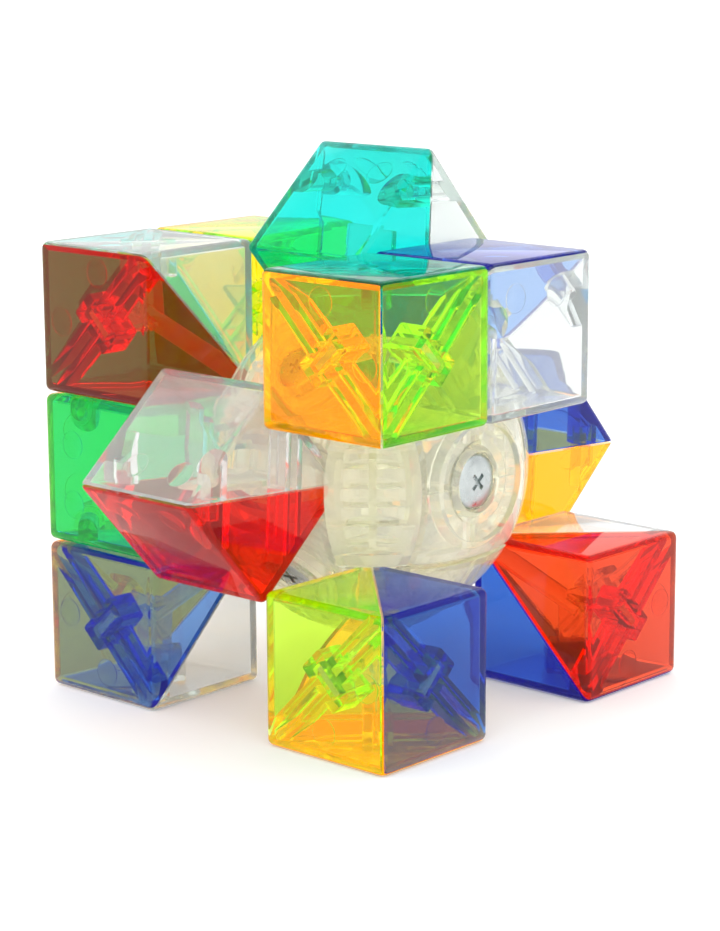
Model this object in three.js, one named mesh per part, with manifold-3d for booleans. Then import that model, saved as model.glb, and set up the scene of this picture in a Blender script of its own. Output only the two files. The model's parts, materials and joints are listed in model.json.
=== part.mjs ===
// A 3 x 3 x 3 turning puzzle with a ball core: clear ball pieces held by six screws, and eleven
// hollow cubes on five of its corner pieces and six of its edge pieces. Millimetres, +Z up.
// The right (+X) and left (-X) layers turn about the X axis through the centre of the ball.
import * as THREE from 'three';
import { mergeVertices } from 'three/addons/utils/BufferGeometryUtils.js';
import { ConvexGeometry } from 'three/addons/geometries/ConvexGeometry.js';
import Module from 'manifold-3d';

const wasm = await Module();
wasm.setup();

// ---- Driving dimensions ----
const PITCH = 20; // one cube of the grid
const SLICE_TURN = THREE.MathUtils.degToRad(41); // how far the middle slice stands turned
const HALF_GAP = 0.15; // half the gap between two pieces that meet on a plane
const CLEARANCE = 0.3; // gap between pieces that plug together
const BALL_RADIUS = 21.8;
const REACH = 1.5 * PITCH; // centre of the ball to an outer cube face
const NEAR = PITCH / 2; // centre of the ball to the nearest face of a cube
const WALL = 1; // walls of the hollow cubes

// The ball is three nested rounds of pieces. Each round is cut by planes at its own distance
// from the centre, so a foot always reaches under the neighbouring piece and holds it in. The skin is only
// on the pieces without a cube: on the others the cube itself stands on the middle round.
const SKIN = { inner: 20.4, outer: BALL_RADIUS, cut: NEAR };
const MIDDLE = { inner: 17.3, outer: 19.7, cut: 8.2 };
const FOOT = { inner: 14.3, outer: 16.6, cut: 5 };
const NECK_OVERLAP = 0.5; // how far a neck runs into the rounds that it joins
const CUBE_CLEARANCE = 0.8; // between a cube and the middle round, enough for flat facets on both
const OUTER_DETAIL = 3; // subdivision of the icosahedron that stands for the ball's surface
const INNER_DETAIL = 2; // and for the rounds under it, whose gaps allow for the flat facets
const CORE_DETAIL = 1; // and for the ball in the middle of the core
const CUP_SIDES = 20; // sides of the round parts, from the widest to the thinnest
const TUBE_SIDES = 16;
const SCREW_SIDES = 12;
const BOSS_SIDES = 10;
const ROD_SIDES = 8;
const PAST = 1; // how far a cutting shape passes the surface that it opens
const MERGE = 1e-5; // points nearer than this are one point

// Centre cap, screw and core.
const RECESS_RADIUS = 7.7;
const RECESS_FLOOR = 19.5; // height of the recess floor above the centre of the ball
const CUP_RADIUS = 8.7;
const CUP_BOTTOM = 18.3;
const CUP_TOP = 19.7; // inside the skin, which closes the rim
const TUBE_RADIUS = 4.8;
const TUBE_BOTTOM = 13.6;
const TUBE_FLOOR = 1;
const HEAD_RADIUS = 3.7;
const HEAD_HEIGHT = 1.3;
const HEAD_RIM = 0.7; // height of the head's straight side
const HEAD_CROWN = 0.7; // radius of its flat top, as a share of the head's
const SHAFT_RADIUS = 1.25;
const SHAFT_END = 6.6;
const CROSS_LENGTH = 3.6;
const CROSS_WIDTH = 0.8;
const CROSS_DEPTH = 0.9;
const CORE_RADIUS = 5.2;
const ARM_RADIUS = 2.7;
const ARM_LENGTH = 13.2;
const BORE_END = 6.3;

// Inside the corner cubes: double ribs, a socket on each face and the stalk that plugs into them.
const RIB = 1.2;
const RIB_SPACE = 1.1;
const RIB_DEPTH = 4; // from the outer face inwards
const SOCKET_DEPTH = 5.5;
const SOCKET_LENGTH = 7;
const SOCKET_WIDTH = 4;
const SOCKET_WALL = 1.2;
const STALK_RADIUS = 1.4;
const STALK_SINK = 1; // how far the stalk or tab runs into the middle round
const STALK_TOP = 1; // how far the stalk passes the centre of its cube
const PRONG_END = 28.2;

// Inside the edge cubes: a peg, a ring for the other half's peg, and two clips for the tab.
const BOSS_OFFSET = 7.4; // along the cube, from its middle
const BOSS_POSITION = 25.8; // on the cut plane, from the centre of the ball
const PEG_RADIUS = 0.9;
const PEG_PASS = 1.5;
const RING_RADIUS = 2;
const RING_DEPTH = 2.2;
const BOSS_LENGTH = 4.6;
const CLIP_FROM = 15.5;
const CLIP_TO = 22;
const TAB_HALF_WIDTH = 4;
const TAB_THICKNESS = 1;
const TAB_END = 31;

// ---- Colours ----
const COLOURS = {
  clear: { color: 0xeef2ee, opacity: 0.35 },
  red: { color: 0xe0301e, opacity: 0.6 },
  orange: { color: 0xff9a10, opacity: 0.6 },
  blue: { color: 0x2a4fd0, opacity: 0.6 },
  green: { color: 0x10a880, opacity: 0.6 },
  lime: { color: 0xc8f020, opacity: 0.6 },
  ball: { color: 0xe9eeea, opacity: 0.4 },
};

const plastic = (name) =>
  new THREE.MeshStandardMaterial({
    ...COLOURS[name],
    transparent: true,
    roughness: 0.08,
    metalness: 0,
  });
const steel = () => new THREE.MeshStandardMaterial({ color: 0xc4c6c8, roughness: 0.3, metalness: 1 });

// ---- Solids ----
const X = new THREE.Vector3(1, 0, 0);
const Y = new THREE.Vector3(0, 1, 0);
const Z = new THREE.Vector3(0, 0, 1);
const FAR = REACH + PAST; // past every outer face

function solid(geometry, matrix = new THREE.Matrix4()) {
  let shape = geometry.clone().applyMatrix4(matrix);
  for (const name of ['normal', 'uv']) shape.deleteAttribute(name);
  shape = mergeVertices(shape, MERGE);
  const index = shape.index ? shape.index.array : shape.attributes.position.array.keys();
  const mesh = new wasm.Mesh({
    numProp: 3,
    vertProperties: Float32Array.from(shape.attributes.position.array),
    triVerts: Uint32Array.from(index),
  });
  return new wasm.Manifold(mesh);
}

function toGeometry(manifold) {
  const mesh = manifold.getMesh();
  const geometry = new THREE.BufferGeometry();
  geometry.setAttribute('position', new THREE.BufferAttribute(mesh.vertProperties, 3));
  geometry.setIndex(new THREE.BufferAttribute(mesh.triVerts, 1));
  const flat = geometry.toNonIndexed();
  flat.computeVertexNormals();
  return flat;
}

const join = (...parts) => parts.reduce((all, part) => all.add(part));

// The rotation and place whose X, Y and Z axes are the given directions.
function frame(x, y, z, origin = new THREE.Vector3()) {
  return new THREE.Matrix4().makeBasis(x, y, z).setPosition(origin);
}

function block([x0, x1], [y0, y1], [z0, z1], matrix = new THREE.Matrix4()) {
  const centre = new THREE.Matrix4().makeTranslation((x0 + x1) / 2, (y0 + y1) / 2, (z0 + z1) / 2);
  return solid(new THREE.BoxGeometry(x1 - x0, y1 - y0, z1 - z0), matrix.clone().multiply(centre));
}

// A round bar along the matrix's Z axis, between two heights.
function bar(radius, from, to, sides = TUBE_SIDES, matrix = new THREE.Matrix4()) {
  const upright = new THREE.Matrix4()
    .makeTranslation(0, 0, (from + to) / 2)
    .multiply(new THREE.Matrix4().makeRotationX(Math.PI / 2));
  const cylinder = new THREE.CylinderGeometry(radius, radius, to - from, sides);
  return solid(cylinder, matrix.clone().multiply(upright));
}

const ball = (radius) => {
  const detail = radius < BALL_RADIUS ? INNER_DETAIL : OUTER_DETAIL;
  return solid(new THREE.IcosahedronGeometry(radius, detail));
};
const hull = (points) => solid(new ConvexGeometry(points.map((point) => new THREE.Vector3(...point))));

// ---- The ball's corner and edge pieces ----
// A piece is placed by three marks: 1 where it lies past the cut planes, 0 where it lies between them.
const past = (cut) => [cut + HALF_GAP, BALL_RADIUS + PAST];
const between = (cut) => [HALF_GAP - cut, cut - HALF_GAP];
const ballRound = (inner, outer) => ball(outer).subtract(ball(inner));

function zone({ inner, outer, cut }, marks) {
  const sides = marks.map((mark) => (mark ? past(cut) : between(cut)));
  return ballRound(inner, outer).intersect(block(...sides));
}

function neck(outside, inside, marks) {
  const sides = marks.map((mark) => (mark ? past(outside.cut) : between(inside.cut)));
  const reach = ballRound(inside.outer - NECK_OVERLAP, outside.inner + NECK_OVERLAP);
  return reach.intersect(block(...sides));
}

// What every piece has, with or without a cube on it.
function root(marks) {
  return join(zone(MIDDLE, marks), neck(MIDDLE, FOOT, marks), zone(FOOT, marks));
}

function ballPiece(marks) {
  return join(zone(SKIN, marks), neck(SKIN, MIDDLE, marks), root(marks));
}

// ---- Corner cubes ----
// Worked out in the corner x, y, z > 0; the shell is the one whose full outer face is +X.
const cubeCentre = new THREE.Vector3(PITCH, PITCH, PITCH);
const diagonal = new THREE.Vector3(1, 1, 1).normalize();
const alongStalk = (() => {
  const side = new THREE.Vector3(0, 1, -1).normalize();
  return frame(side, diagonal.clone().cross(side), diagonal);
})();
// On the +X face: Y runs across the socket, Z runs along it towards the outer corner.
const onFace = frame(
  X,
  new THREE.Vector3(0, 1, -1).normalize(),
  new THREE.Vector3(0, 1, 1).normalize(),
  new THREE.Vector3(0, PITCH, PITCH),
);

// The pyramid from the inner corner of the cube to the whole of its +X face.
function pyramid() {
  const low = NEAR + HALF_GAP;
  const slant = HALF_GAP * Math.SQRT2;
  const high = REACH - slant;
  return hull([
    [low + slant, low, low],
    [REACH, low, low],
    [REACH, high, low],
    [REACH, high, high],
    [REACH, low, high],
  ]);
}

function cornerShell() {
  const inside = [NEAR + HALF_GAP + WALL, FAR];
  const walls = pyramid().subtract(block([0, REACH - WALL], inside, inside));
  const half = RIB_SPACE / 2;
  const ribs = [-1, 1].map((side) => {
    const across = [half, half + RIB].map((value) => value * side).sort((a, b) => a - b);
    return block([REACH - RIB_DEPTH, REACH - WALL / 2], [-PITCH, PITCH], across, onFace);
  });
  const socket = block(
    [REACH - SOCKET_DEPTH, REACH - WALL / 2],
    [-SOCKET_WIDTH / 2, SOCKET_WIDTH / 2],
    [-SOCKET_LENGTH / 2, SOCKET_LENGTH / 2],
    onFace,
  );
  const innerWidth = SOCKET_WIDTH / 2 - SOCKET_WALL;
  const innerLength = SOCKET_LENGTH / 2 - SOCKET_WALL;
  const hole = block(
    [0, REACH - WALL],
    [-innerWidth, innerWidth],
    [-innerLength, innerLength],
    onFace,
  );
  const stalkRoom = bar(
    STALK_RADIUS + CLEARANCE + HALF_GAP,
    0,
    cubeCentre.length() + STALK_TOP + CLEARANCE,
    ROD_SIDES,
    alongStalk,
  );
  return join(walls, join(...ribs, socket).intersect(pyramid()))
    .subtract(join(hole, stalkRoom))
    .subtract(ball(MIDDLE.outer + CUBE_CLEARANCE));
}

function cornerStalk() {
  const rod = bar(
    STALK_RADIUS,
    MIDDLE.outer - STALK_SINK,
    cubeCentre.length() + STALK_TOP,
    ROD_SIDES,
    alongStalk,
  );
  const halfWidth = SOCKET_WIDTH / 2 - SOCKET_WALL - CLEARANCE;
  const halfLength = SOCKET_LENGTH / 2 - SOCKET_WALL - CLEARANCE;
  const prong = (x, y, z) => {
    const turn = frame(x, y, z).multiply(onFace);
    return block([PITCH, PRONG_END], [-halfWidth, halfWidth], [-halfLength, halfLength], turn);
  };
  return join(rod, prong(X, Y, Z), prong(Y, Z, X), prong(Z, X, Y));
}

// ---- Edge cubes ----
// Worked out for the edge y, z > 0 that runs along X; the shell is the one whose outer face is +Y.
// On the cut plane: X runs along the cube, Y into the shell, Z towards the cube's outer edge.
const onCut = frame(
  X,
  new THREE.Vector3(0, 1, -1).normalize(),
  new THREE.Vector3(0, 1, 1).normalize(),
);
const upright = (x, z) =>
  onCut.clone().multiply(frame(X, Z.clone().negate(), Y, new THREE.Vector3(x, 0, z)));

function wedge() {
  const low = NEAR + HALF_GAP;
  const slant = HALF_GAP * Math.SQRT2;
  const end = NEAR - HALF_GAP;
  return hull(
    [-end, end].flatMap((x) => [
      [x, low + slant, low],
      [x, REACH, low],
      [x, REACH, REACH - slant],
    ]),
  );
}

function edgeShell() {
  const end = NEAR - HALF_GAP - WALL;
  const walls = wedge().subtract(block([-end, end], [0, REACH - WALL], [NEAR + HALF_GAP + WALL, FAR]));
  const height = BOSS_POSITION * Math.SQRT2;
  const ring = bar(RING_RADIUS, 0, BOSS_LENGTH, BOSS_SIDES, upright(-BOSS_OFFSET, height));
  const ringHole = bar(PEG_RADIUS + CLEARANCE, -PAST, RING_DEPTH, ROD_SIDES, upright(-BOSS_OFFSET, height));
  const peg = bar(PEG_RADIUS, -PEG_PASS, BOSS_LENGTH, ROD_SIDES, upright(BOSS_OFFSET, height));
  const clipFrom = TAB_HALF_WIDTH + CLEARANCE;
  const clips = [-1, 1].map((side) => {
    const across = [clipFrom, clipFrom + RIB].map((value) => value * side).sort((a, b) => a - b);
    return block(across, [CLIP_FROM, CLIP_TO], [NEAR + HALF_GAP, FAR]);
  });
  return join(walls, join(ring, ...clips).intersect(wedge()), peg)
    .subtract(ringHole)
    .subtract(ball(MIDDLE.outer + CUBE_CLEARANCE));
}

function edgeTab() {
  const half = TAB_THICKNESS / 2;
  const height = [MIDDLE.outer - STALK_SINK, TAB_END];
  return block([-TAB_HALF_WIDTH, TAB_HALF_WIDTH], [-half, half], height, onCut);
}

// ---- Centre cap, screw and core, all standing on +Z ----
function centreCap() {
  const skin = zone(SKIN, [0, 0, 1]);
  const cup = bar(CUP_RADIUS, CUP_BOTTOM, CUP_TOP, CUP_SIDES);
  const tube = bar(TUBE_RADIUS, TUBE_BOTTOM, CUP_BOTTOM + NECK_OVERLAP);
  const recess = bar(RECESS_RADIUS, RECESS_FLOOR, BALL_RADIUS + PAST, CUP_SIDES);
  const well = bar(HEAD_RADIUS + CLEARANCE, TUBE_BOTTOM + TUBE_FLOOR, BALL_RADIUS + PAST);
  const hole = bar(SHAFT_RADIUS + CLEARANCE, 0, BALL_RADIUS, ROD_SIDES);
  return join(skin, cup, tube).subtract(join(recess, well, hole));
}

function screw() {
  const head = CUP_BOTTOM + HEAD_HEIGHT;
  const profile = [
    [0, SHAFT_END],
    [SHAFT_RADIUS, SHAFT_END],
    [SHAFT_RADIUS, CUP_BOTTOM],
    [HEAD_RADIUS, CUP_BOTTOM],
    [HEAD_RADIUS, CUP_BOTTOM + HEAD_RIM],
    [HEAD_RADIUS * HEAD_CROWN, head],
    [0, head],
  ].map(([radius, height]) => new THREE.Vector2(radius, height));
  const body = solid(
    new THREE.LatheGeometry(profile, SCREW_SIDES),
    new THREE.Matrix4().makeRotationX(Math.PI / 2),
  );
  const length = [-CROSS_LENGTH / 2, CROSS_LENGTH / 2];
  const width = [-CROSS_WIDTH / 2, CROSS_WIDTH / 2];
  const depth = [head - CROSS_DEPTH, head + PAST];
  return body.subtract(join(block(length, width, depth), block(width, length, depth)));
}

const AXES = {
  right: [Y, Z, X],
  left: [Z, Y, X.clone().negate()],
  back: [Z, X, Y],
  front: [X, Z, Y.clone().negate()],
  top: [X, Y, Z],
  bottom: [Y, X, Z.clone().negate()],
};

function coreSpider() {
  const turns = Object.values(AXES).map((axes) => frame(...axes));
  const arms = turns.map((turn) => bar(ARM_RADIUS, 0, ARM_LENGTH, ROD_SIDES, turn));
  const bores = turns.map((turn) =>
    bar(SHAFT_RADIUS + CLEARANCE, BORE_END, ARM_LENGTH + PAST, ROD_SIDES, turn),
  );
  const centre = solid(new THREE.IcosahedronGeometry(CORE_RADIUS, CORE_DETAIL));
  return join(centre, ...arms).subtract(join(...bores));
}

// ---- Which pieces carry cubes, and the colour of each outer face ----
const DIRECTIONS = {
  right: X,
  left: X.clone().negate(),
  back: Y,
  front: Y.clone().negate(),
  top: Z,
  bottom: Z.clone().negate(),
};
const CUBES = {
  right_front_top: { front: 'orange', right: 'lime', top: 'green' },
  right_front_bottom: { front: 'lime', right: 'blue', bottom: 'orange' },
  right_back_bottom: { right: 'red', back: 'clear', bottom: 'blue' },
  right_top: { top: 'blue', right: 'clear' },
  left_front_top: { front: 'red', top: 'clear', left: 'green' },
  left_front_bottom: { front: 'blue', bottom: 'clear', left: 'orange' },
  left_front: { front: 'green', left: 'orange' },
  left_top: { top: 'lime', left: 'orange' },
  slice_front_top: { top: 'clear', front: 'red' },
  slice_back_top: { top: 'green', back: 'clear' },
  slice_back_bottom: { back: 'blue', bottom: 'orange' },
};

// Each shape is built once and placed many times.
const SHAPES = {
  corner: toGeometry(ballPiece([1, 1, 1])),
  cornerWithStalk: toGeometry(join(root([1, 1, 1]), cornerStalk())),
  edge: toGeometry(ballPiece([0, 1, 1])),
  edgeWithTab: toGeometry(join(root([0, 1, 1]), edgeTab())),
  cornerShell: toGeometry(cornerShell()),
  edgeShell: toGeometry(edgeShell()),
  cap: toGeometry(centreCap()),
  screw: toGeometry(screw()),
  core: toGeometry(coreSpider()),
};

function place(group, name, geometry, material, axes = [X, Y, Z]) {
  const mesh = new THREE.Mesh(geometry, material);
  mesh.name = name;
  mesh.setRotationFromMatrix(frame(...axes));
  group.add(mesh);
}

// Three signed directions in an order that makes a right-handed frame, the given one first.
function handed(first, second, third) {
  const rightHanded = first.clone().cross(second).dot(third) > 0;
  return rightHanded ? [first, second, third] : [first, third, second];
}

function addCorner(group, name, sides) {
  const faces = CUBES[name];
  const toward = sides.map((side) => DIRECTIONS[side]);
  const base = faces ? SHAPES.cornerWithStalk : SHAPES.corner;
  place(group, `${name}_base`, base, plastic('ball'), handed(...toward));
  if (!faces) return;
  for (const side of sides) {
    const others = sides.filter((other) => other !== side).map((other) => DIRECTIONS[other]);
    const axes = handed(DIRECTIONS[side], ...others);
    place(group, `${name}_shell_${side}`, SHAPES.cornerShell, plastic(faces[side]), axes);
  }
}

function addEdge(group, name, sides) {
  const faces = CUBES[name];
  const axes = (first, second) => [first.clone().cross(second), first, second];
  const [one, other] = sides.map((side) => DIRECTIONS[side]);
  const base = faces ? SHAPES.edgeWithTab : SHAPES.edge;
  place(group, `${name}_base`, base, plastic('ball'), axes(one, other));
  if (!faces) return;
  place(group, `${name}_shell_${sides[0]}`, SHAPES.edgeShell, plastic(faces[sides[0]]), axes(one, other));
  place(group, `${name}_shell_${sides[1]}`, SHAPES.edgeShell, plastic(faces[sides[1]]), axes(other, one));
}

function addCap(group, name, side) {
  place(group, `${name}_cap`, SHAPES.cap, plastic('ball'), AXES[side]);
}

function addScrew(group, name, side) {
  place(group, `${name}_screw`, SHAPES.screw, steel(), AXES[side]);
}

const DEPTHS = ['front', 'back'];
const HEIGHTS = ['top', 'bottom'];

function outerLayer(side) {
  const layer = new THREE.Group();
  addCap(layer, side, side);
  for (const height of HEIGHTS) {
    addEdge(layer, `${side}_${height}`, [side, height]);
    for (const depth of DEPTHS) addCorner(layer, `${side}_${depth}_${height}`, [side, depth, height]);
  }
  for (const depth of DEPTHS) addEdge(layer, `${side}_${depth}`, [side, depth]);
  return layer;
}

function middleSlice() {
  const slice = new THREE.Group();
  place(slice, 'core_spider', SHAPES.core, plastic('ball'));
  for (const side of [...DEPTHS, ...HEIGHTS]) {
    addCap(slice, `slice_${side}`, side);
    addScrew(slice, `slice_${side}`, side);
  }
  for (const height of HEIGHTS) {
    for (const depth of DEPTHS) addEdge(slice, `slice_${depth}_${height}`, [depth, height]);
  }
  for (const side of ['right', 'left']) addScrew(slice, side, side);
  slice.rotation.x = SLICE_TURN;
  return slice;
}

const puzzle = new THREE.Group();
puzzle.add(outerLayer('right'), outerLayer('left'), middleSlice());
puzzle.position.z = REACH; // the lowest cube faces stand on z = 0

export default puzzle;
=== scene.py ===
import json
import math

import bmesh
import bpy
from mathutils import Matrix, Vector


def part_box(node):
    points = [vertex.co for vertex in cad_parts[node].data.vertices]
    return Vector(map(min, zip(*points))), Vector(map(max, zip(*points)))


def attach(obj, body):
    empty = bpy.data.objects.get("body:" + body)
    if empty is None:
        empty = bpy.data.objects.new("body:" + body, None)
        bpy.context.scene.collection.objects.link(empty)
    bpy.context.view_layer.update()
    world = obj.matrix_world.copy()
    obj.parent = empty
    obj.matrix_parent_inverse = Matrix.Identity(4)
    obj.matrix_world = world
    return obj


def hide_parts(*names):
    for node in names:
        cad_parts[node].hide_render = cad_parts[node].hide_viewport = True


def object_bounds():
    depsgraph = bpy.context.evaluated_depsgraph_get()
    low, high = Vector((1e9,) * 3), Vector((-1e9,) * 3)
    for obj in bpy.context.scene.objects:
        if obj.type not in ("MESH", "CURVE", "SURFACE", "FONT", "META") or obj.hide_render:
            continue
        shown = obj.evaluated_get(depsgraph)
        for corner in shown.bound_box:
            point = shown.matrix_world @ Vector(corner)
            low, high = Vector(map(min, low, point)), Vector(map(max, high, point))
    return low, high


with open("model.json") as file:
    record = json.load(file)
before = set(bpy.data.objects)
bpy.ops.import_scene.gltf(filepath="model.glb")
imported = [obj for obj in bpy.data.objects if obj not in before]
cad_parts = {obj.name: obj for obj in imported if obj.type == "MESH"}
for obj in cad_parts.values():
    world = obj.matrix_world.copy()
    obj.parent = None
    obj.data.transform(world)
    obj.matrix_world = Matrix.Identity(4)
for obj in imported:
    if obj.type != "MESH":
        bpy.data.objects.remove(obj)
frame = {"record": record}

cad_lo, cad_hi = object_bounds()

# ---------------------------------------------------------------- the frame: centre, pitch and slice angle
# Shapes are made in millimetres round the centre of the ball, as +X, +Y, +Z pieces, and then placed.
MM = 0.001


def middle(node):
    lo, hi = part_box(node)
    return (lo + hi) / 2


core = middle("core_spider")
REACH = (cad_hi.x - core.x) / MM          # centre of the ball to an outer cube face
PITCH = REACH / 1.5                       # one cube of the grid
screw_way = middle("slice_top_screw") - core
slice_turn = math.atan2(-screw_way.y, screw_way.z)
SLICE = Matrix.Rotation(slice_turn, 4, "X")

# ---------------------------------------------------------------- driving sizes, millimetres
GAP = 0.15                    # half the gap between two cubes
NEAR = PITCH / 2              # centre of the ball to the nearest face of a cube
FAR = REACH + 6               # past every outer face
INSIDE = NEAR - 2             # short of every inner face
PAST = 1.0                    # how far a cut runs past what it cuts
SKIM = 0.02                   # keeps the cubes just inside the CAD box
CUBE = (NEAR + GAP, REACH - SKIM)
WALL = 1.0
ROUND = 0.95                  # outer edges of the cubes
INNER_ROUND = 0.35
KEEP_ROUND = ROUND * 1.2      # what is inside a cube is cut rounder than the cube
SLANT = GAP * math.sqrt(2)    # the gap across a diagonal cut, measured along an axis

BALL = 21.8                   # radius of the ball
BALL_GAP = 0.4                # half the visible gap between two ball pieces
SKIN = (20.6, BALL)           # inner and outer radius of each round of the ball pieces
CELLS = (17.7, 20.8)
FLANGE = (17.7, 18.7)
LEG = (15.1, 18.0)
FOOT = (15.1, 16.4)
CORNER_NECK = (18.8, 21.0)
CORNER_FLANGE = (17.7, 19.0)
CORNER_LEG = (15.8, 18.0)
CUBE_CUT = 19.3               # the cubes stop here, above the flanges
SKIN_CUT = NEAR               # the planes between the ball pieces, at each depth
FLANGE_CUT = 8.2
FOOT_CUT = 5.0
THIN = 0.95                   # walls and ribs inside the ball pieces
SLABS = (-6.1, -3.65, -1.2, 1.2, 3.65, 6.1)   # places of the slabs across a barrel
SLAB_THIN = 0.8               # their thickness, as a share of the walls'
SINK = 0.6                    # how far a stalk or a tab runs into its flange

RIB = 1.15
RIB_ROUND = 0.12
RIB_SPACE = 1.15
RIB_DEPTH = 3.6
SOCKET_DEPTH = 5.0
SOCKET = (3.9, 7.2)           # width and length
SOCKET_WALL = 1.15
STALK = 1.35
STALK_TOP = 1.0
PLUG_ROOM = 0.3
PRONG_SHORT = 0.4             # the prongs end this far from the face wall

MARK = 1.85                   # radius of the ejector marks
MARK_HEIGHT = 0.13
CORNER_MARKS = (0.17, 0.52)   # from the outer edges, as shares of the pitch
EDGE_MARK = 0.24
EDGE_MARKS_X = (-3.4, 4.6)

BOSS_POSITION = 25.8
BOSS_OFFSET = 7.5
BOSS_REACH = 6.0              # from the cut plane into the shell
RING = 1.95
STAND = 1.35                  # radius of the boss under the peg
PEG = 0.75
PEG_SPAN = (-1.4, 3)
PEG_ROOM = 0.12
PEG_HOLE_SPAN = (-1, 2.4)
CLIP = RIB * 0.8
CLIP_POSITION = 16.6
CLIP_LENGTH = 3.0
TAB_HALF = 3.8
TAB = 1.0
TAB_END = 31.0

RECESS = 7.7
RECESS_FLOOR = 19.5
CUP = 8.6
CUP_BOTTOM = 18.3
CUP_TOP = 19.8
TUBE = 4.75
TUBE_BOTTOM = 13.65
TUBE_FLOOR = 1.0
TUBE_LAP = 0.5                # how far the tube runs into the cup
STEP = TUBE + 0.75            # the low ring round the screw well
STEP_SPAN = (RECESS_FLOOR - 0.2, RECESS_FLOOR + 0.3)
SPOKE = CUP - 0.2
SPOKE_SPAN = (CUP_BOTTOM - 1.2, CUP_BOTTOM + 0.3)
SCREW_ROOM = 0.3              # round the screw head and the shaft

HEAD = 3.7
HEAD_TOP = 19.6
HEAD_CHAMFER = 0.12
HEAD_RIM = HEAD_TOP - 0.55
HEAD_RIM_RISE = 0.16
HEAD_DOME = ((0.86, 0.2), (0.62, 0.06), (0.4, 0))   # shares of its radius, and depths below its top
SLOT_LENGTH = 1.3             # half the length and width of the cross in the screw head
SLOT_WIDTH = 0.3
SLOT_DEPTH = 0.5
SHAFT = 1.25
SHAFT_END = 6.7
SHAFT_POINT = 0.5             # the radius of its end, as a share of the shaft's
PLAIN_SHAFT = 3               # its length without a thread, under the head
THREAD_TURNS = 14
THREAD_PITCH = 0.42
THREAD_DEPTH = 0.2
THREAD_START = SHAFT_END + 0.8

SPRING = 2.75
WIRE = 0.3
COILS = 4.5
FLAT_COIL = 0.6               # the part of a coil that lies flat at each end

CORE_BALL = 5.2
ARM = 2.65
ARM_END = 13.1
FILLET = ((0, 0), (CORE_BALL * 0.9, 0), (CORE_BALL * 0.83, 3.2), (ARM + 0.7, 4.9), (ARM, 6.2), (0, 6.2))
BORE_ROOM = 0.12
BORE_START = SHAFT_END - 0.3

X, Y, Z = Vector((1, 0, 0)), Vector((0, 1, 0)), Vector((0, 0, 1))
SIDES = {"right": X, "left": -X, "back": Y, "front": -Y, "top": Z, "bottom": -Z}

# ---------------------------------------------------------------- materials
LINE = MM * WALL              # the way through one wall, in metres
DENSITY_MARGIN = 1.02         # keeps every share of the volume colour above zero


def noise(nodes, links, scale, detail, coordinates, stretch=None):
    texture = nodes.new("ShaderNodeTexNoise")
    texture.inputs["Scale"].default_value = scale
    texture.inputs["Detail"].default_value = detail
    source = coordinates
    if stretch:
        mapping = nodes.new("ShaderNodeMapping")
        mapping.inputs["Scale"].default_value = stretch
        links.new(coordinates, mapping.inputs["Vector"])
        source = mapping.outputs["Vector"]
    links.new(source, texture.inputs["Vector"])
    return texture.outputs["Fac"]


def spread(nodes, links, factor, low, high, start=0.35, end=0.7):
    ramp = nodes.new("ShaderNodeMapRange")
    ramp.inputs["From Min"].default_value = start
    ramp.inputs["From Max"].default_value = end
    ramp.inputs["To Min"].default_value = low
    ramp.inputs["To Max"].default_value = high
    links.new(factor, ramp.inputs["Value"])
    return ramp.outputs["Result"]


def add_bump(nodes, links, shader, heights):
    """Heights are (factor, strength, distance) from coarse to fine, each bump feeding the next."""
    normal = None
    for factor, strength, distance in heights:
        bump = nodes.new("ShaderNodeBump")
        bump.inputs["Strength"].default_value = strength
        bump.inputs["Distance"].default_value = distance
        links.new(factor, bump.inputs["Height"])
        if normal:
            links.new(normal, bump.inputs["Normal"])
        normal = bump.outputs["Normal"]
    links.new(normal, shader.inputs["Normal"])


def absorption(single):
    """Volume colour and density that leave the given share of each colour after one wall."""
    taken = [-math.log(share) / LINE for share in single]
    density = max(taken) * DENSITY_MARGIN
    return [1 - value / density for value in taken] + [1], density


def clear_plastic(name, tint, single, rough=(0.01, 0.04), painted_glow=None, ripple=0.012, haze=0.0, bend=1.3):
    material = bpy.data.materials.new(name)
    material.use_nodes = True
    nodes, links = material.node_tree.nodes, material.node_tree.links
    shader = nodes["Principled BSDF"]
    shader.inputs["Base Color"].default_value = (*tint, 1)
    shader.inputs["Transmission Weight"].default_value = 1 - haze
    shader.inputs["IOR"].default_value = bend
    shader.inputs["Specular IOR Level"].default_value = 0.9
    # painted glow: a steady emission that lightens the plastic everywhere, standing in for light it gathers
    if painted_glow:
        shader.inputs["Emission Color"].default_value = (*painted_glow[0], 1)
        shader.inputs["Emission Strength"].default_value = painted_glow[1]
    place = nodes.new("ShaderNodeTexCoord").outputs["Object"]
    cloud = noise(nodes, links, scale=260, detail=3, coordinates=place)
    scratch = noise(nodes, links, scale=420, detail=4, coordinates=place, stretch=(1, 9, 2))
    flow = noise(nodes, links, scale=90, detail=2, coordinates=place)
    links.new(spread(nodes, links, cloud, *rough), shader.inputs["Roughness"])
    add_bump(nodes, links, shader, [(flow, ripple, 0.0003), (scratch, 0.02, 0.0001)])
    volume = nodes.new("ShaderNodeVolumeAbsorption")
    colour, density = absorption(single)
    volume.inputs["Color"].default_value = colour
    volume.inputs["Density"].default_value = density
    links.new(volume.outputs["Volume"], nodes["Material Output"].inputs["Volume"])
    return material


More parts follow.
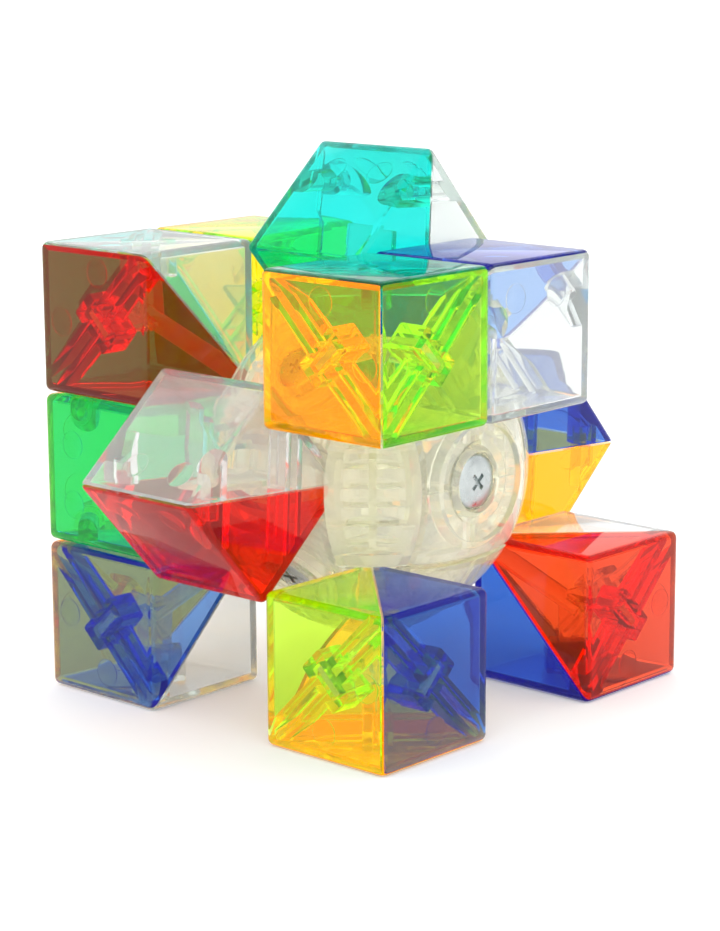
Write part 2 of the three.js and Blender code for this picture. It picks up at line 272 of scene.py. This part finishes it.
def plated_steel():
    material = bpy.data.materials.new("screw_steel")
    material.use_nodes = True
    nodes, links = material.node_tree.nodes, material.node_tree.links
    shader = nodes["Principled BSDF"]
    shader.inputs["Metallic"].default_value = 1
    place = nodes.new("ShaderNodeTexCoord").outputs["Object"]
    turned = noise(nodes, links, scale=900, detail=5, coordinates=place, stretch=(1, 1, 6))
    cloud = noise(nodes, links, scale=350, detail=4, coordinates=place)
    mix = nodes.new("ShaderNodeMix")
    mix.data_type = "RGBA"
    mix.inputs["A"].default_value = (0.42, 0.46, 0.46, 1)
    mix.inputs["B"].default_value = (0.62, 0.66, 0.65, 1)
    links.new(cloud, mix.inputs["Factor"])
    links.new(mix.outputs["Result"], shader.inputs["Base Color"])
    links.new(spread(nodes, links, turned, 0.22, 0.42), shader.inputs["Roughness"])
    add_bump(nodes, links, shader, [(cloud, 0.1, 0.0001), (turned, 0.12, 0.00005)])
    return material


# For each slot: the tint of a face, what one wall lets through, and a painted glow (emission that brightens
# the plastic as if lit, though it is no lamp).
PLASTICS = {
    "clear_plastic": dict(tint=(0.96, 0.97, 0.965), single=(0.98, 0.987, 0.983), haze=0.14,
                          painted_glow=((0.95, 1, 1), 0.015)),
    "red_plastic": dict(tint=(0.92, 0.33, 0.2), single=(0.96, 0.32, 0.16), painted_glow=((1, 0.07, 0.01), 0.07)),
    "orange_plastic": dict(tint=(0.98, 0.62, 0.34), single=(0.99, 0.975, 0.25), painted_glow=((1, 0.42, 0), 0.13)),
    "blue_plastic": dict(tint=(0.35, 0.53, 0.72), single=(0.52, 0.7, 0.92), painted_glow=((0.1, 0.1, 1), 0.055)),
    "green_plastic": dict(tint=(0.17, 0.85, 0.85), single=(0.12, 0.94, 0.9), painted_glow=((0, 0.7, 0.55), 0.045)),
    "lime_plastic": dict(tint=(0.8, 0.93, 0.68), single=(0.95, 0.985, 0.42), painted_glow=((0.4, 1, 0.03), 0.05)),
    "ball_plastic": dict(tint=(0.988, 0.985, 0.955), single=(0.988, 0.988, 0.95), rough=(0.03, 0.09),
                         haze=0.19, bend=1.24, painted_glow=((1, 0.95, 0.78), 0.048)),
    "core_plastic": dict(tint=(0.985, 0.985, 0.96), single=(0.98, 0.98, 0.95), rough=(0.1, 0.2),
                         haze=0.3, bend=1.24, painted_glow=((1, 0.95, 0.78), 0.048)),
}
materials = {slot: clear_plastic(slot, **look) for slot, look in PLASTICS.items()}
materials["screw_steel"] = plated_steel()


# ---------------------------------------------------------------- mesh tools
LEVEL = 1e-6                  # an edge whose ends differ by less lies level
SHARP = math.radians(28)      # edges bent by more than this stay sharp


def axes(x, y, z, origin=(0, 0, 0)):
    """The matrix whose X, Y and Z axes are the given directions, at the given place."""
    turn = Matrix((x, y, z)).transposed().to_4x4()
    return Matrix.Translation(Vector(origin)) @ turn


def finish_mesh(work, name="solid"):
    mesh = bpy.data.meshes.new(name)
    bmesh.ops.recalc_face_normals(work, faces=work.faces)
    work.to_mesh(mesh)
    work.free()
    return mesh


def block(x, y, z, matrix=None, bevel=0.0, segments=3):
    spans = (x, y, z)
    centre = Matrix.Translation([(a + b) / 2 for a, b in spans])
    size = Matrix.Diagonal([b - a for a, b in spans] + [1])
    work = bmesh.new()
    bmesh.ops.create_cube(work, size=1, matrix=centre @ size)
    if bevel:
        bmesh.ops.bevel(work, geom=work.edges[:] + work.verts[:], offset=bevel, segments=segments,
                        profile=0.5, affect="EDGES")
    if matrix:
        bmesh.ops.transform(work, matrix=matrix, verts=work.verts)
    return finish_mesh(work)


def rod(radius, start, end, matrix=None, sides=48, bevel=0.0):
    """A round bar along Z of the matrix. bevel rounds both rims."""
    work = bmesh.new()
    shift = Matrix.Translation((0, 0, (start + end) / 2))
    bmesh.ops.create_cone(work, cap_ends=True, segments=sides, radius1=radius, radius2=radius,
                          depth=end - start, matrix=shift)
    if bevel:
        rims = [edge for edge in work.edges if abs(edge.verts[0].co.z - edge.verts[1].co.z) < LEVEL]
        bmesh.ops.bevel(work, geom=rims, offset=bevel, segments=3, profile=0.5, affect="EDGES")
    if matrix:
        bmesh.ops.transform(work, matrix=matrix, verts=work.verts)
    return finish_mesh(work)


def ball(radius, detail=5):
    work = bmesh.new()
    bmesh.ops.create_icosphere(work, subdivisions=detail, radius=radius)
    return finish_mesh(work)


def hull(points):
    work = bmesh.new()
    for point in points:
        work.verts.new(point)
    bmesh.ops.convex_hull(work, input=work.verts)
    return finish_mesh(work)


def lathe(profile, sides=64):
    """A closed body from (radius, height) points that start and end on the Z axis."""
    work = bmesh.new()
    rows = []
    for radius, height in profile:
        if radius == 0:
            rows.append([work.verts.new((0, 0, height))] * sides)
            continue
        turns = [2 * math.pi * step / sides for step in range(sides)]
        rows.append([work.verts.new((radius * math.cos(t), radius * math.sin(t), height)) for t in turns])
    for low, high in zip(rows, rows[1:]):
        for step in range(sides):
            after = (step + 1) % sides
            corners = dict.fromkeys([low[step], low[after], high[after], high[step]])
            work.faces.new(list(corners))
    return finish_mesh(work)


def combine(operation, base, *tools):
    """base after a boolean with each tool in turn."""
    holder = bpy.data.objects.new("work", base)
    bpy.context.scene.collection.objects.link(holder)
    others = []
    for tool in tools:
        other = bpy.data.objects.new("tool", tool)
        bpy.context.scene.collection.objects.link(other)
        modifier = holder.modifiers.new("cut", "BOOLEAN")
        modifier.operation = operation
        modifier.solver = "MANIFOLD"
        modifier.object = other
        others.append(other)
    graph = bpy.context.evaluated_depsgraph_get()
    mesh = bpy.data.meshes.new_from_object(holder.evaluated_get(graph))
    for item in [holder, *others]:
        bpy.data.objects.remove(item)
    return mesh


def union(base, *parts):
    return combine("UNION", base, *parts)


def minus(base, *parts):
    return combine("DIFFERENCE", base, *parts)


def within(base, *parts):
    return combine("INTERSECT", base, *parts)


# ---------------------------------------------------------------- corner cubes
DIAGONAL = Vector((1, 1, 1)).normalized()
CUBE_CENTRE = Vector((PITCH,) * 3)
FACE_ACROSS = Vector((0, 1, -1)).normalized()
FACE_ALONG = Vector((0, 1, 1)).normalized()
on_face = axes(X, FACE_ACROSS, FACE_ALONG, (0, PITCH, PITCH))
on_stalk = axes(FACE_ACROSS, DIAGONAL.cross(FACE_ACROSS), DIAGONAL)


def pyramid():
    """From the inner corner of the cube to its whole +X face, and past it."""
    ends = (INSIDE, FAR - SLANT)
    base = [(FAR, y, z) for y in ends for z in ends]
    return hull([(INSIDE + SLANT, INSIDE, INSIDE), *base])


def ejector_mark(matrix):
    return rod(MARK, -MARK_HEIGHT, WALL / 2, matrix, sides=40, bevel=0.05)


def corner_shell():
    outer = within(block(CUBE, CUBE, CUBE, bevel=ROUND, segments=5), pyramid())
    hollow = (NEAR + GAP + WALL, FAR)
    inner = block((NEAR, REACH - WALL), hollow, hollow, bevel=INNER_ROUND)
    walls = minus(outer, inner)
    ribs = []
    for side in (-1, 1):
        across = sorted(side * value for value in (RIB_SPACE / 2, RIB_SPACE / 2 + RIB))
        ribs.append(block((REACH - RIB_DEPTH, REACH - WALL / 2), (-PITCH, PITCH), across, on_face,
                          bevel=RIB_ROUND, segments=2))
    width, length = SOCKET[0] / 2, SOCKET[1] / 2
    socket = block((REACH - SOCKET_DEPTH, REACH - WALL / 2), (-width, width), (-length, length), on_face,
                   bevel=INNER_ROUND)
    inside = union(ribs[0], ribs[1], socket)
    inside = within(inside, pyramid(), block(CUBE, CUBE, CUBE, bevel=KEEP_ROUND))
    width, length = width - SOCKET_WALL, length - SOCKET_WALL
    hole = block((0, REACH - WALL), (-width, width), (-length, length), on_face, bevel=0.2)
    room = rod(STALK + PLUG_ROOM, 0, CUBE_CENTRE.length + STALK_TOP + PLUG_ROOM, on_stalk)
    shell = minus(union(walls, inside), hole, room, ball(CUBE_CUT))
    far, near = (REACH - share * PITCH for share in CORNER_MARKS)
    marks = [ejector_mark(axes(Y, Z, X, (REACH - WALL, y, z))) for y, z in ((far, near), (near, far))]
    return union(shell, *marks)


def corner_stalk():
    post = rod(STALK, CORNER_FLANGE[1] - SINK, CUBE_CENTRE.length + STALK_TOP, on_stalk, bevel=0.25)
    width = SOCKET[0] / 2 - SOCKET_WALL - PLUG_ROOM
    length = SOCKET[1] / 2 - SOCKET_WALL - PLUG_ROOM
    prongs = []
    for turn in (axes(X, Y, Z), axes(Y, Z, X), axes(Z, X, Y)):
        prongs.append(block((PITCH, REACH - WALL - PRONG_SHORT), (-width, width), (-length, length),
                            turn @ on_face, bevel=0.15))
    return union(post, *prongs)


# ---------------------------------------------------------------- edge cubes
CUT_OUT = Vector((0, 1, -1)).normalized()
CUT_UP = Vector((0, 1, 1)).normalized()
on_cut = axes(X, CUT_OUT, CUT_UP)


def upright(x, height):
    """On the cut plane of an edge cube, with Z pointing into the shell."""
    return on_cut @ axes(X, -Z, Y, (x, 0, height))


def wedge():
    """The half of an edge cube under its +Y face, and past it."""
    corners = ((INSIDE + SLANT, INSIDE), (FAR, INSIDE), (FAR, FAR - SLANT))
    return hull([(x, y, z) for x in (-FAR, FAR) for y, z in corners])


def boss(radius, end, x, height):
    """A round boss with straight sides back to the end wall."""
    back = sorted((0, end - x))
    place_here = upright(x, height)
    return union(rod(radius, 0, BOSS_REACH, place_here),
                 block(back, (-radius, radius), (0, BOSS_REACH), place_here))


def edge_shell():
    end = NEAR - GAP
    outer = within(block((-end, end), CUBE, CUBE, bevel=ROUND, segments=5), wedge())
    inner = block((WALL - end, end - WALL), (0, REACH - WALL), (NEAR + GAP + WALL, FAR), bevel=INNER_ROUND)
    walls = minus(outer, inner)
    height = BOSS_POSITION * math.sqrt(2)
    ring = boss(RING, -end + WALL / 2, -BOSS_OFFSET, height)
    stand = boss(STAND, end - WALL / 2, BOSS_OFFSET, height)
    clips = []
    clip_place = on_cut @ Matrix.Translation((0, 0, CLIP_POSITION * math.sqrt(2)))
    for side in (-1, 1):
        across = sorted(side * value for value in (end - WALL - CLIP_LENGTH, end - WALL / 2))
        for up in (-1, 1):
            along = sorted(up * value for value in (RIB_SPACE / 2, RIB_SPACE / 2 + CLIP))
            clips.append(block(across, (0, REACH), along, clip_place, bevel=RIB_ROUND, segments=2))
    inside = union(ring, stand, *clips)
    keep = within(wedge(), block((-end, end), CUBE, CUBE, bevel=KEEP_ROUND))
    shell = union(walls, within(inside, keep))
    peg = rod(PEG, *PEG_SPAN, upright(BOSS_OFFSET, height), sides=32, bevel=0.2)
    hole = rod(PEG + PEG_ROOM, *PEG_HOLE_SPAN, upright(-BOSS_OFFSET, height), sides=32)
    shell = minus(union(shell, peg), hole, ball(CUBE_CUT))
    up = REACH - EDGE_MARK * PITCH
    marks = [ejector_mark(axes(Z, X, Y, (x, REACH - WALL, up))) for x in EDGE_MARKS_X]
    return union(shell, *marks)


def edge_tab():
    half = TAB / 2
    return block((-TAB_HALF, TAB_HALF), (-half, half), (FLANGE[1] - SINK, TAB_END), on_cut, bevel=0.2)


# ---------------------------------------------------------------- ball pieces
EDGE, CORNER, CENTRE = (0, 1, 1), (1, 1, 1), (0, 0, 1)     # the marks of each kind of piece, for region()


def region(marks, cut, inset=0.0):
    """A box that lies past the cut planes where marks say 1, and between them where they say 0."""
    spans = []
    for mark in marks:
        side = cut - BALL_GAP - inset
        spans.append((cut + BALL_GAP + inset, BALL + 2 * PAST) if mark else (-side, side))
    return spans


def round_zone(radii, marks, cut, bevel=0.0):
    spans = region(marks, cut)
    shell = minus(ball(radii[1]), ball(radii[0], 4))
    return within(shell, block(*spans, bevel=bevel))


def walled(radii, spans, inner_spans):
    """The walls between two boxes, within one round of the ball."""
    shell = minus(ball(radii[1], 4), ball(radii[0], 4))
    return within(shell, minus(block(*spans), block(*inner_spans)))


def mixed(marks, outer_cut, inner_cut, inset=0.0):
    """Past the outer cut on the marked axes, and within the inner cut on the others."""
    outer, inner = region(marks, outer_cut, inset), region(marks, inner_cut, inset)
    return [outer[i] if mark else inner[i] for i, mark in enumerate(marks)]


def edge_root(flange):
    """What every edge piece has, with or without a cube on it, under its own flange."""
    leg = walled(LEG, mixed(EDGE, FLANGE_CUT, FOOT_CUT), mixed(EDGE, FLANGE_CUT, FOOT_CUT, THIN))
    return union(flange, leg, round_zone(FOOT, EDGE, FOOT_CUT))


def edge_base():
    skin = round_zone(SKIN, EDGE, SKIN_CUT, bevel=0.3)
    outside, inside = mixed(EDGE, SKIN_CUT, FLANGE_CUT), mixed(EDGE, SKIN_CUT, FLANGE_CUT, THIN)
    cells = walled(CELLS, outside, inside)
    flange = walled(FLANGE, region(EDGE, FLANGE_CUT), inside)
    half = THIN / 2
    slabs = [block((-FAR, FAR), (-half, half), (0, FAR), on_cut)]
    for x in SLABS:
        slabs.append(block((x - half * SLAB_THIN, x + half * SLAB_THIN), (0, FAR), (0, FAR)))
    shell = minus(ball(CELLS[1], 4), ball(CELLS[0], 4))
    room = within(shell, block(*mixed(EDGE, SKIN_CUT, FLANGE_CUT, half)))
    return union(skin, cells, within(union(*slabs), room), edge_root(flange))


def edge_base_with_tab():
    """The flange is closed here, because the tab stands on it."""
    flange = round_zone(FLANGE, EDGE, FLANGE_CUT)
    return union(edge_root(flange), edge_tab())


def corner_root():
    """What every corner piece has, with or without a cube on it."""
    return union(round_zone(CORNER_FLANGE, CORNER, FLANGE_CUT), round_zone(CORNER_LEG, CORNER, FLANGE_CUT),
                 round_zone(FOOT, CORNER, FOOT_CUT))


def corner_base():
    return union(round_zone(SKIN, CORNER, SKIN_CUT, bevel=0.2), round_zone(CORNER_NECK, CORNER, SKIN_CUT),
                 corner_root())


def centre_cap():
    skin = round_zone(SKIN, CENTRE, SKIN_CUT, bevel=0.3)
    cup = rod(CUP, CUP_BOTTOM, CUP_TOP, sides=96, bevel=0.2)
    tube = rod(TUBE, TUBE_BOTTOM, CUP_BOTTOM + TUBE_LAP, sides=64)
    step = rod(STEP, *STEP_SPAN, sides=96, bevel=0.12)
    long, thin = (-CUP, CUP), (-THIN / 2, THIN / 2)
    spokes = union(block(long, thin, SPOKE_SPAN), block(thin, long, SPOKE_SPAN))
    spokes = within(spokes, rod(SPOKE, 0, FAR, sides=96))
    recess = rod(RECESS, RECESS_FLOOR, BALL + PAST, sides=128)
    well = rod(HEAD + SCREW_ROOM, TUBE_BOTTOM + TUBE_FLOOR, BALL + PAST, sides=64)
    hole = rod(SHAFT + SCREW_ROOM, 0, BALL, sides=32)
    body = union(skin, cup, tube, spokes)
    return minus(union(minus(body, recess), step), well, hole)


# ---------------------------------------------------------------- screw, spring and core
def screw():
    point = [(0, SHAFT_END), (SHAFT * SHAFT_POINT, SHAFT_END)]
    thread = []
    for step in range(THREAD_TURNS):
        height = THREAD_START + step * THREAD_PITCH
        thread += [(SHAFT, height), (SHAFT - THREAD_DEPTH, height + THREAD_PITCH / 2)]
    shaft = [(SHAFT, CUP_BOTTOM - PLAIN_SHAFT), (SHAFT, CUP_BOTTOM)]
    head = [(HEAD - HEAD_CHAMFER, CUP_BOTTOM), (HEAD, CUP_BOTTOM + HEAD_CHAMFER), (HEAD, HEAD_RIM),
            (HEAD - HEAD_CHAMFER, HEAD_RIM + HEAD_RIM_RISE)]
    dome = [(HEAD * share, HEAD_TOP - drop) for share, drop in HEAD_DOME]
    body = lathe([*point, *thread, *shaft, *head, *dome, (0, HEAD_TOP)])
    top, bottom = HEAD_TOP + PAST, HEAD_TOP - SLOT_DEPTH
    slots = []
    for turn in (0, math.pi / 2):
        place_here = Matrix.Rotation(turn, 4, "Z")
        slots.append(block((-SLOT_LENGTH, SLOT_LENGTH), (-SLOT_WIDTH, SLOT_WIDTH), (bottom, top), place_here,
                           bevel=0.08, segments=2))
    return minus(body, union(*slots))


def spring():
    """A compression spring round the screw, between the floor of the tube and the screw head."""
    sides, steps = 10, 32
    low, high = TUBE_BOTTOM + TUBE_FLOOR + WIRE, CUP_BOTTOM - WIRE
    work = bmesh.new()
    rings = []
    total = int(COILS * steps)
    for step in range(total + 1):
        share = step / total
        turn = 2 * math.pi * COILS * share
        ease = min(max((share * COILS - FLAT_COIL) / (COILS - 2 * FLAT_COIL), 0), 1)
        centre = Vector((SPRING * math.cos(turn), SPRING * math.sin(turn), low + (high - low) * ease))
        out = Vector((math.cos(turn), math.sin(turn), 0))
        ring = []
        for side in range(sides):
            angle = 2 * math.pi * side / sides
            ring.append(work.verts.new(centre + WIRE * (math.cos(angle) * out + math.sin(angle) * Z)))
        rings.append(ring)
    for one, other in zip(rings, rings[1:]):
        for side in range(sides):
            after = (side + 1) % sides
            work.faces.new((one[side], one[after], other[after], other[side]))
    work.faces.new(rings[0])
    work.faces.new(rings[-1])
    return finish_mesh(work)


def handed(first, second, third):
    """Three directions in an order that makes a right-handed frame, the given one first."""
    return (first, second, third) if first.cross(second).dot(third) > 0 else (first, third, second)


def standing(side):
    """Z of a shape along the given side."""
    up = SIDES[side]
    across = X if abs(up.x) < 0.5 else Y
    return axes(across, up.cross(across), up)


def core_spider():
    body = ball(CORE_BALL, 4)
    arms = [rod(ARM, 0, ARM_END, standing(side), bevel=0.3) for side in SIDES]
    fillets = []
    for side in SIDES:
        fillet = lathe(FILLET)
        fillet.transform(standing(side))
        fillets.append(fillet)
    bores = [rod(SHAFT + BORE_ROOM, BORE_START, ARM_END + PAST, standing(side), sides=32) for side in SIDES]
    return minus(union(body, *arms, *fillets), *bores)


# ---------------------------------------------------------------- placing
shapes = {
    "corner_shell": corner_shell(),
    "edge_shell": edge_shell(),
    "corner_base": corner_base(),
    "edge_base": edge_base(),
    "cap": centre_cap(),
    "screw": screw(),
    "spring": spring(),
    "core": core_spider(),
}
shapes["corner_base_with_stalk"] = union(corner_root(), corner_stalk())
shapes["edge_base_with_tab"] = edge_base_with_tab()
for shape in shapes.values():
    shape.transform(Matrix.Scale(MM, 4))

record = frame["record"]
slots = {entry["node"]: entry["material_slot"] for entry in record["subparts"]}
body_of = {node: body for body, nodes in record["behaviour"]["bodies"].items() for node in nodes}
coloured = {}


def shape_in(shape, slot):
    """The mesh of a shape with a slot's material, made once for each pair."""
    if (shape, slot) not in coloured:
        mesh = shapes[shape].copy()
        mesh.name = f"{shape}_{slot}"
        mesh.materials.clear()
        mesh.materials.append(materials[slot])
        mesh.shade_smooth()
        mesh.set_sharp_from_angle(angle=SHARP)
        coloured[shape, slot] = mesh
    return coloured[shape, slot]


def place(name, shape, slot, body, turn, replaced=None):
    piece = bpy.data.objects.new(name, shape_in(shape, slot))
    bpy.context.scene.collection.objects.link(piece)
    layer = SLICE if body == "middle_slice" else Matrix.Identity(4)
    piece.matrix_world = Matrix.Translation(core) @ layer @ turn
    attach(piece, body)
    if replaced:
        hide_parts(replaced)


cube_bases = {node.split("_shell_")[0] + "_base" for node in slots if "_shell_" in node}


def place_node(node):
    """Stands a detailed piece on the CAD node: its name says which piece it is and where."""
    slot, body = slots[node], body_of[node]
    words = [word for word in node.split("_") if word in SIDES]
    ways = [SIDES[word] for word in words]
    visual = f"{node}_visual"
    if "_shell_" in node:
        face, others = ways[-1], [way for way in ways[:-1] if way != ways[-1]]
        if len(others) == 2:
            place(visual, "corner_shell", slot, body, axes(*handed(face, *others)), node)
        else:
            place(visual, "edge_shell", slot, body, axes(face.cross(others[0]), face, others[0]), node)
    elif node.endswith("_base"):
        kind = "corner_base" if len(ways) == 3 else "edge_base"
        with_cube = {"corner_base": "_with_stalk", "edge_base": "_with_tab"}[kind]
        turn = axes(*handed(*ways)) if len(ways) == 3 else axes(ways[0].cross(ways[1]), *ways)
        place(visual, kind + (with_cube if node in cube_bases else ""), slot, body, turn, node)
    elif node.endswith("_cap"):
        place(visual, "cap", slot, body, standing(words[0]), node)
    elif node.endswith("_screw"):
        place(visual, "screw", slot, body, standing(words[0]), node)
        rides = "middle_slice" if node.startswith("slice") else f"{words[0]}_layer"
        place(f"{words[0]}_spring", "spring", slot, rides, standing(words[0]))
    else:
        place(visual, "core", slot, body, Matrix.Identity(4), node)


for node in sorted(slots):
    place_node(node)

# ---------------------------------------------------------------- floor, light and camera
FLOOR_SIZE = 12.0
FLOOR_DROP = 0.0001           # keeps the floor just under the lowest faces
FLOOR_COLOUR = (0.93, 0.93, 0.925, 1)
FLOOR_GLOW = 0.16
SKY_STRENGTH = 1.12
LAMPS = {                     # for each: where it shines from, its energy and its width in degrees
    "key": ((0.2, -0.7, 0.8), 0.8, 60),
    "fill": ((0.9, 0.1, 0.6), 0.4, 70),
    "rim": ((-0.6, 0.7, 0.7), 0.4, 60),
}
AZIMUTH, ELEVATION, ROLL = math.radians(42.4), math.radians(12.0), math.radians(-0.3)
DISTANCE = 0.35
LENS = 101.5
AIM = (-0.00067, -0.00053)    # from the core, to the right and up in the picture


def floor():
    work = bmesh.new()
    bmesh.ops.create_grid(work, x_segments=8, y_segments=8, size=FLOOR_SIZE / 2)
    mesh = finish_mesh(work)
    plane = bpy.data.objects.new("floor", mesh)
    plane.location.z = cad_lo.z - FLOOR_DROP
    bpy.context.scene.collection.objects.link(plane)
    material = bpy.data.materials.new("floor")
    material.use_nodes = True
    nodes, links = material.node_tree.nodes, material.node_tree.links
    shader = nodes["Principled BSDF"]
    shader.inputs["Base Color"].default_value = FLOOR_COLOUR
    shader.inputs["Specular IOR Level"].default_value = 0.15
    shader.inputs["Emission Color"].default_value = (1, 1, 1, 1)
    shader.inputs["Emission Strength"].default_value = FLOOR_GLOW
    place_here = nodes.new("ShaderNodeTexCoord").outputs["Object"]
    cloud = noise(nodes, links, scale=40, detail=3, coordinates=place_here)
    links.new(spread(nodes, links, cloud, 0.75, 0.9), shader.inputs["Roughness"])
    mesh.materials.append(material)


def sky():
    """White behind the object, with soft darker bands round it for the plastic's edges to show."""
    world = bpy.data.worlds.new("studio")
    world.use_nodes = True
    bpy.context.scene.world = world
    nodes, links = world.node_tree.nodes, world.node_tree.links
    back = nodes["Background"]
    back.inputs["Strength"].default_value = SKY_STRENGTH
    direction = nodes.new("ShaderNodeTexCoord").outputs["Generated"]
    split = nodes.new("ShaderNodeSeparateXYZ")
    links.new(direction, split.inputs["Vector"])
    wave = nodes.new("ShaderNodeTexWave")
    wave.inputs["Scale"].default_value = 0.9
    wave.inputs["Distortion"].default_value = 1.5
    links.new(direction, wave.inputs["Vector"])
    bands = spread(nodes, links, wave.outputs["Fac"], 0.72, 1.06, 0.1, 0.7)
    level = spread(nodes, links, split.outputs["Z"], 1.0, 0.86, 0.3, 1.0)
    product = nodes.new("ShaderNodeMath")
    product.operation = "MULTIPLY"
    links.new(bands, product.inputs[0])
    links.new(level, product.inputs[1])
    ray = nodes.new("ShaderNodeLightPath")
    seen = nodes.new("ShaderNodeMix")
    seen.inputs["B"].default_value = 1.0
    links.new(ray.outputs["Is Camera Ray"], seen.inputs["Factor"])
    links.new(product.outputs["Value"], seen.inputs["A"])
    links.new(seen.outputs["Result"], back.inputs["Color"])


def lamp(name, way, energy, width):
    """A soft sun that shines from the given way."""
    light = bpy.data.lights.new(name, "SUN")
    light.energy = energy
    light.angle = math.radians(width)
    holder = bpy.data.objects.new(name, light)
    holder.rotation_euler = Vector(way).to_track_quat("Z", "Y").to_euler()
    bpy.context.scene.collection.objects.link(holder)


def camera():
    data = bpy.data.cameras.new("camera")
    data.lens = LENS
    data.clip_start = 0.01
    holder = bpy.data.objects.new("camera", data)
    back = Vector((math.sin(AZIMUTH) * math.cos(ELEVATION), -math.cos(AZIMUTH) * math.cos(ELEVATION),
                   math.sin(ELEVATION)))
    right = Z.cross(back).normalized()
    aim = core + right * AIM[0] + back.cross(right) * AIM[1]
    turn = back.to_track_quat("Z", "Y").to_matrix().to_4x4()
    holder.matrix_world = Matrix.Translation(aim + back * DISTANCE) @ turn @ Matrix.Rotation(ROLL, 4, "Z")
    bpy.context.scene.collection.objects.link(holder)
    bpy.context.scene.camera = holder


floor()
sky()
for name, (way, energy, width) in LAMPS.items():
    lamp(name, way, energy, width)
camera()

scene = bpy.context.scene
scene.view_settings.view_transform = "Standard"
scene.cycles.max_bounces = 40
scene.cycles.transmission_bounces = 40
scene.cycles.glossy_bounces = 12
scene.cycles.diffuse_bounces = 3
scene.cycles.volume_bounces = 0
scene.cycles.transparent_max_bounces = 16
